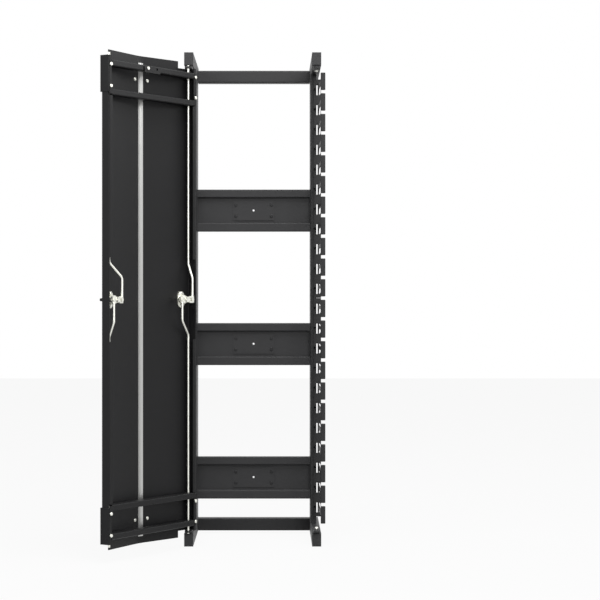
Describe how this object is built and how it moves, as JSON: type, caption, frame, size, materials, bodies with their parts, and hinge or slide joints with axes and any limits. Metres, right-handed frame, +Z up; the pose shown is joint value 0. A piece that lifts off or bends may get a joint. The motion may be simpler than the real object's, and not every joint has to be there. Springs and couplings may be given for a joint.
{
  "type": "vertical cable manager",
  "caption": "Tall rack-side cable manager: open steel frame with cross panels, rows of T-shaped cable fingers, and a V-fronted hinged door with rod latches.",
  "frame": {"origin": "on the floor, under the middle of the rear bottom crossbar", "axes": "+Z up, +Y to the back, door at the -Y face, hinged at -X and standing open"},
  "size_m": [0.4638, 0.5795, 1.06],
  "materials": {
    "frame_powder_coat": "satin fine-texture powder coat",
    "door_powder_coat": "satin fine-texture powder coat",
    "finger_plastic": "moulded, matte",
    "cap_plastic": "moulded, matte",
    "knob_plastic": "moulded, satin",
    "zinc_plate": "bright zinc plate",
    "strip_aluminium": "satin anodised",
    "badge_gloss": "gloss black",
    "bush_nylon": "moulded nylon",
    "black_screws": "black oxide"
  },
  "bodies": {
    "frame": {"left_bottom_rail": "frame_powder_coat", "left_top_rail": "frame_powder_coat", "left_post": "frame_powder_coat", "right_bottom_rail": "frame_powder_coat", "right_top_rail": "frame_powder_coat", "right_post": "frame_powder_coat", "rail_end_caps": "cap_plastic", "bottom_crossbar": "frame_powder_coat", "top_crossbar": "frame_powder_coat", "crossbar_bolts": "zinc_plate", "lower_cross_panel": "frame_powder_coat", "lower_spool_plate": "frame_powder_coat", "middle_cross_panel": "frame_powder_coat", "middle_spool_plate": "frame_powder_coat", "upper_cross_panel": "frame_powder_coat", "upper_spool_plate": "frame_powder_coat", "cross_panel_screws": "black_screws", "spool_plate_screws": "black_screws", "right_lower_fingers": "finger_plastic", "left_lower_fingers": "finger_plastic", "right_upper_fingers": "finger_plastic", "left_upper_fingers": "finger_plastic", "finger_screws": "black_screws", "right_top_pivot_plate": "frame_powder_coat", "right_bottom_pivot_plate": "frame_powder_coat", "left_top_pivot_plate": "frame_powder_coat", "left_bottom_pivot_plate": "frame_powder_coat", "pivot_spacers": "frame_powder_coat", "pivot_bushes": "bush_nylon", "pivot_bolts": "zinc_plate"},
    "door": {"right_door_panel": "door_powder_coat", "left_door_panel": "door_powder_coat", "centre_strip": "strip_aluminium", "header_cover": "door_powder_coat", "footer_cover": "door_powder_coat", "badge_plate": "badge_gloss", "header_top_bar": "door_powder_coat", "footer_bottom_bar": "door_powder_coat", "header_lower_bar": "door_powder_coat", "footer_upper_bar": "door_powder_coat", "bar_screws": "zinc_plate", "cover_screws": "zinc_plate", "header_clip": "door_powder_coat", "rod_guide_bushes": "bush_nylon", "left_latch_housing": "zinc_plate", "right_latch_housing": "zinc_plate", "latch_screws": "zinc_plate"},
    "left_knob": {"left_knob": "knob_plastic", "left_spindle": "zinc_plate", "left_crank": "zinc_plate", "left_crank_nut": "zinc_plate"},
    "left_upper_rod": {"left_upper_rod": "zinc_plate"},
    "left_lower_rod": {"left_lower_rod": "zinc_plate"},
    "right_knob": {"right_knob": "knob_plastic", "right_spindle": "zinc_plate", "right_crank": "zinc_plate", "right_crank_nut": "zinc_plate"},
    "right_upper_rod": {"right_upper_rod": "zinc_plate"},
    "right_lower_rod": {"right_lower_rod": "zinc_plate"}
  },
  "joints": [
    {"name": "door_hinge", "type": "hinge", "parent": "frame", "child": "door", "pos_m": [-0.13725, -0.3175, 0.53], "axis": [0, 0, -1], "range_deg": [-123, 27]},
    {"name": "left_knob_turn", "type": "hinge", "parent": "door", "child": "left_knob", "pos_m": [-0.15528, -0.32278, 0.53], "axis": [-0.7678, 0.6407, 0], "range_deg": [0, 45]},
    {"name": "left_upper_rod_slide", "type": "slide", "parent": "door", "child": "left_upper_rod", "axis": [0, 0, -1], "range_m": [0, 0.01131]},
    {"name": "left_lower_rod_slide", "type": "slide", "parent": "door", "child": "left_lower_rod", "axis": [0, 0, 1], "range_m": [0, 0.01131]},
    {"name": "right_knob_turn", "type": "hinge", "parent": "door", "child": "right_knob", "pos_m": [-0.28926, -0.5291, 0.53], "axis": [-0.8976, 0.4408, 0], "range_deg": [0, 45]},
    {"name": "right_upper_rod_slide", "type": "slide", "parent": "door", "child": "right_upper_rod", "axis": [0, 0, -1], "range_m": [0, 0.01131]},
    {"name": "right_lower_rod_slide", "type": "slide", "parent": "door", "child": "right_lower_rod", "axis": [0, 0, 1], "range_m": [0, 0.01131]}
  ],
  "couplings": [
    {"joint": "left_knob_turn", "follows": "left_upper_rod_slide", "rad_per_m": 69.42},
    {"joint": "left_lower_rod_slide", "follows": "left_upper_rod_slide", "ratio": 1},
    {"joint": "right_knob_turn", "follows": "right_upper_rod_slide", "rad_per_m": 69.42},
    {"joint": "right_lower_rod_slide", "follows": "right_upper_rod_slide", "ratio": 1}
  ]
}
